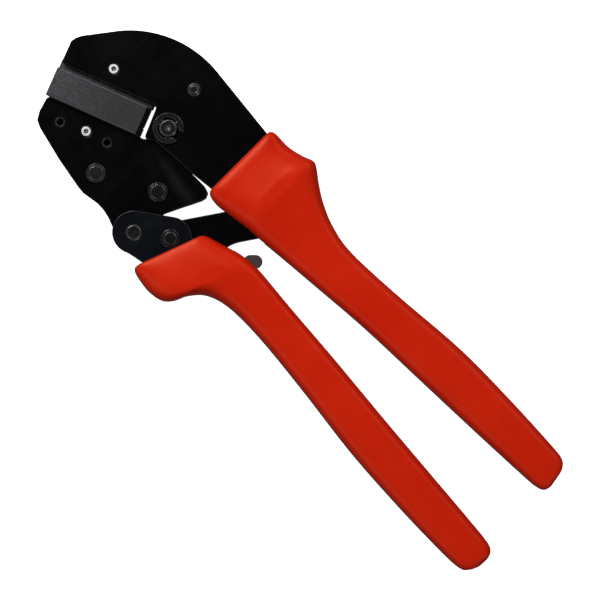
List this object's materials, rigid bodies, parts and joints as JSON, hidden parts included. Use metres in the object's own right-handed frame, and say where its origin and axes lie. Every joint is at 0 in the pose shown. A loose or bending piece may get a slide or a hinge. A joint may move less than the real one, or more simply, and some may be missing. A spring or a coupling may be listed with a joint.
{
  "type": "ratchet crimping pliers",
  "caption": "Hand crimping pliers with a two-plate frame, moving jaw, toggle link, ratchet with release lever, screwed-in dies and two sleeve grips.",
  "frame": {"origin": "middle of the tool's box in plan, on the plane that the grips' backs rest on", "axes": "+X from the jaws to the handle ends, +Y from the moving handle to the fixed handle, +Z from the back face to the front face"},
  "size_m": [0.2295, 0.0728, 0.022],
  "materials": {
    "blackened_plate": "blackened steel, satin, fine speckle, slightly brighter along the sheared edges",
    "blackened_pin": "oil-blackened turned steel, semi-matte",
    "die_steel": "phosphated die steel, matte grey with a fine speckle",
    "bright_screw": "zinc-plated, bright",
    "spring_steel": "drawn spring wire",
    "sector_steel": "hardened steel, machined teeth",
    "pawl_steel": "heat-browned hardened steel, satin",
    "grip": "satin orange-red moulded plastic"
  },
  "bodies": {
    "frame": {"fixed_plate_front": "blackened_plate", "fixed_plate_back": "blackened_plate", "frame_spacers": "blackened_pin", "frame_rivets": "blackened_pin", "nose_rivet": "blackened_pin", "main_pivot_pin": "blackened_pin", "pivot_clips": "blackened_pin", "upper_die": "die_steel", "upper_die_screw": "bright_screw", "link_anchor_pin": "blackened_pin", "spring_anchor_pin": "blackened_pin", "return_spring": "spring_steel", "upper_grip": "grip"},
    "jaw": {"jaw_plate_front": "blackened_plate", "jaw_plate_back": "blackened_plate", "jaw_spacers": "blackened_pin", "jaw_rivets": "blackened_pin", "lower_die": "die_steel", "lower_die_screw": "bright_screw"},
    "link": {"link_plate_front": "blackened_plate", "link_plate_back": "blackened_plate", "ratchet_sector": "sector_steel", "sector_rivets": "blackened_pin", "link_spring_pin": "blackened_pin"},
    "handle": {"handle_plate_front": "blackened_plate", "handle_plate_back": "blackened_plate", "handle_spacers": "blackened_pin", "handle_rivets": "blackened_pin", "jaw_pin": "blackened_pin", "link_pin": "blackened_pin", "pawl_pin": "blackened_pin", "pawl_spring_post": "blackened_pin", "pawl_spring": "spring_steel", "lower_grip": "grip"},
    "pawl": {"ratchet_pawl": "pawl_steel"}
  },
  "joints": [
    {"name": "link_swing", "type": "hinge", "parent": "frame", "child": "link", "pos_m": [-0.0203, 0.0146, 0.011], "axis": [0, 0, 1], "range_deg": [0, 12.1], "deforming": ["return_spring"]},
    {"name": "handle_open", "type": "hinge", "parent": "link", "child": "handle", "pos_m": [-0.0423, -0.0179, 0.011], "axis": [0, 0, -1], "range_deg": [0, 44]},
    {"name": "jaw_open", "type": "hinge", "parent": "frame", "child": "jaw", "pos_m": [-0.0698, 0.0086, 0.011], "axis": [0, 0, 1], "range_deg": [0, 7.9]},
    {"name": "pawl_release", "type": "hinge", "parent": "handle", "child": "pawl", "pos_m": [-0.01863, -0.01156, 0.011], "axis": [0, 0, 1], "range_deg": [-14, 14], "stiffness_Nm_per_rad": 0.05, "deforming": ["pawl_spring"]}
  ],
  "couplings": [
    {"joint": "link_swing", "follows": "handle_open", "ratio": 0.2736},
    {"joint": "jaw_open", "follows": "handle_open", "ratio": 0.1773}
  ]
}
